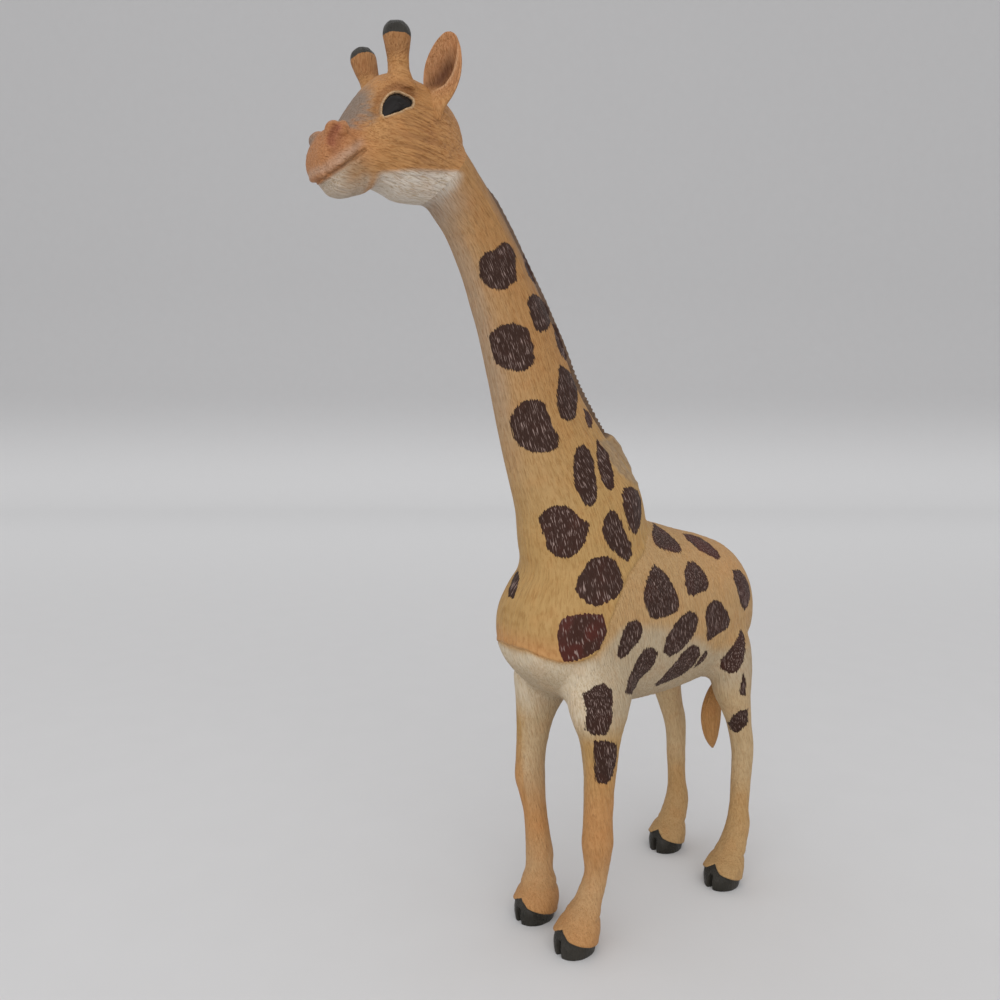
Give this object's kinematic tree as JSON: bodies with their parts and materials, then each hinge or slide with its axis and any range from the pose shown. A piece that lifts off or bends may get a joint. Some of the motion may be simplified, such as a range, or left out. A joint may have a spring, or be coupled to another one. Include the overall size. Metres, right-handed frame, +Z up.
{
  "type": "toy giraffe figure",
  "caption": "Standing toy giraffe of hollow vinyl, with a long plugged neck, horn stubs, cupped ears, glossy eyes, slim legs on cloven hooves and a hanging tufted tail.",
  "frame": {"origin": "middle of the bounding box, on the plane that the soles stand on", "axes": "+Z up, -Y towards the animal's nose, +X towards its left side"},
  "size_m": [0.0696, 0.2824, 0.4304],
  "materials": {
    "tan_vinyl": "tan painted soft vinyl with dark brown spots, pale below, fine moulded hair",
    "head_vinyl": "orange tan painted soft vinyl, pinkish muzzle, pale jaw, black horn tips",
    "ear_vinyl": "orange tan painted soft vinyl, darker in the cup",
    "leg_vinyl": "orange tan painted soft vinyl with black satin hooves",
    "tail_vinyl": "orange tan painted soft vinyl",
    "eye_gloss": "glossy black"
  },
  "bodies": {
    "root": {"body_casting": "tan_vinyl", "neck_casting": "tan_vinyl", "head_casting": "head_vinyl", "ear_left": "ear_vinyl", "ear_right": "ear_vinyl", "eye_left": "eye_gloss", "eye_right": "eye_gloss", "front_leg_left": "leg_vinyl", "front_leg_right": "leg_vinyl", "hind_leg_left": "leg_vinyl", "hind_leg_right": "leg_vinyl", "tail": "tail_vinyl"}
  },
  "joints": []
}
